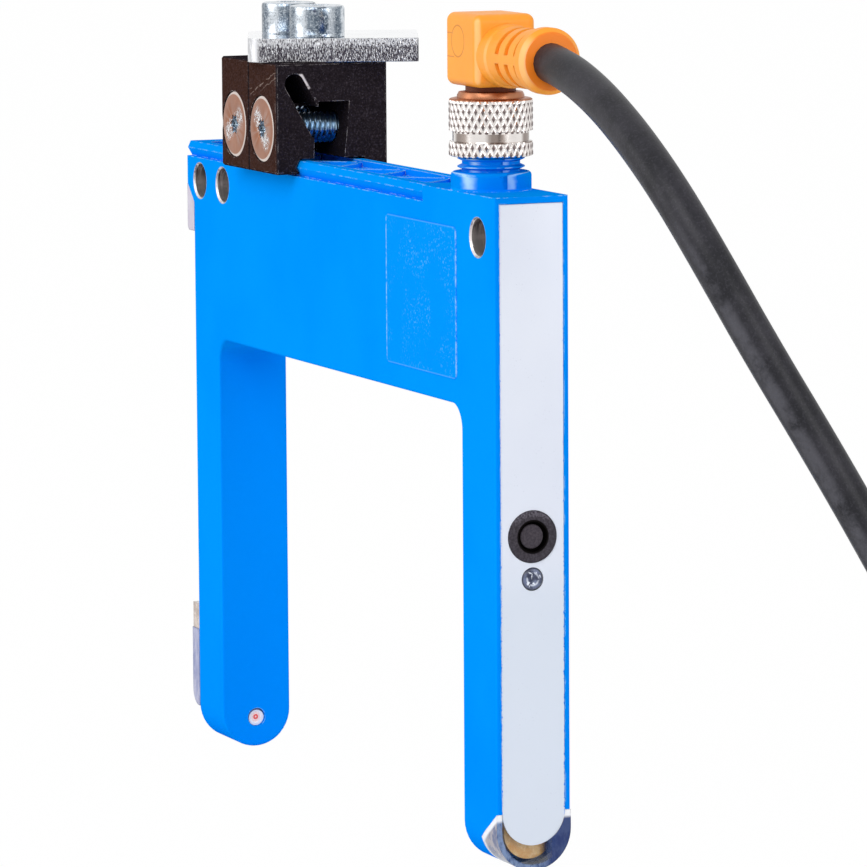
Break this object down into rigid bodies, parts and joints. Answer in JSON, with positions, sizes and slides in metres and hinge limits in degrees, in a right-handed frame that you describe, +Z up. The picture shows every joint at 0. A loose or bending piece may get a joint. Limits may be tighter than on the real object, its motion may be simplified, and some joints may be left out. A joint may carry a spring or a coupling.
{
  "type": "fork sensor",
  "caption": "U-shaped fork light sensor with a narrow blue metal housing, dovetail rail clamps with a mounting plate, a teach button and an angled plug with cable.",
  "frame": {"origin": "midway between the two outer fixing holes, at mid thickness", "axes": "+X from the left arm to the right arm with the button, +Y to the back, +Z up, away from the fork's open end"},
  "size_m": [0.2924, 0.0426, 0.1009],
  "materials": {
    "blue_paint": "smooth blue powder coat",
    "clear_cover": "clear moulded plastic",
    "white_film": "white film with a fine grain",
    "label_film": "thin glossy clear label",
    "beige_resin": "cast resin",
    "lens_plastic": "translucent window",
    "board_green": "solder mask",
    "diode_resin": "clear red resin",
    "black_moulding": "black moulding",
    "amber_flex": "amber flexible circuit",
    "gold_contact": "gold-plated contact",
    "black_button": "fine-grained black plastic",
    "black_anodised": "black anodised, machined",
    "zinc_screw": "bright blue zinc plating",
    "zinc_plate": "zinc-plated sheet with sheared edges",
    "nickel_knurl": "nickel plating, diamond knurl",
    "seal_rubber": "black seal",
    "orange_moulding": "orange moulded plastic, semi-matte",
    "black_jacket": "matte black jacket",
    "black_tie": "black tie"
  },
  "bodies": {
    "sensor": {"housing": "blue_paint", "right_cover": "clear_cover", "left_cover": "clear_cover", "right_film": "white_film", "left_film": "white_film", "type_label": "label_film", "right_potting": "beige_resin", "left_potting": "beige_resin", "potting_pad": "beige_resin", "receiver_lens": "lens_plastic", "emitter_lens": "lens_plastic", "receiver_board": "board_green", "emitter_board": "board_green", "receiver_diode": "diode_resin", "emitter_diode": "diode_resin", "main_board": "board_green", "board_chips": "black_moulding", "board_links": "amber_flex", "connector_insert": "black_moulding", "connector_pins": "gold_contact", "button_bezel": "black_button", "button_switch": "black_moulding", "status_light": "clear_cover", "plug_sleeve": "black_moulding", "plug_seal": "seal_rubber", "plug_carrier": "black_moulding", "plug_contacts": "gold_contact", "plug_body": "orange_moulding", "cable": "black_jacket", "cable_hank": "black_jacket", "hank_ties": "black_tie", "lead_ends": "black_jacket"},
    "button": {"teach_button": "black_button"},
    "nut": {"coupling_nut": "nickel_knurl"},
    "rail_clamps": {"clamp_left": "black_anodised", "clamp_right": "black_anodised", "clamp_screws": "zinc_screw", "mounting_plate": "zinc_plate", "plate_screws": "zinc_screw"}
  },
  "joints": [
    {"name": "button_press", "type": "slide", "parent": "sensor", "child": "button", "axis": [-1, 0, 0], "range_m": [0, 0.0004], "stiffness_N_per_m": 1500, "springref_m": -0.0004},
    {"name": "nut_turn", "type": "hinge", "parent": "sensor", "child": "nut", "pos_m": [0.0388, 0, 0.0128], "axis": [0, 0, 1], "continuous": true},
    {"name": "clamp_slide", "type": "slide", "parent": "sensor", "child": "rail_clamps", "axis": [1, 0, 0], "range_m": [-0.0178, 0.038]}
  ]
}
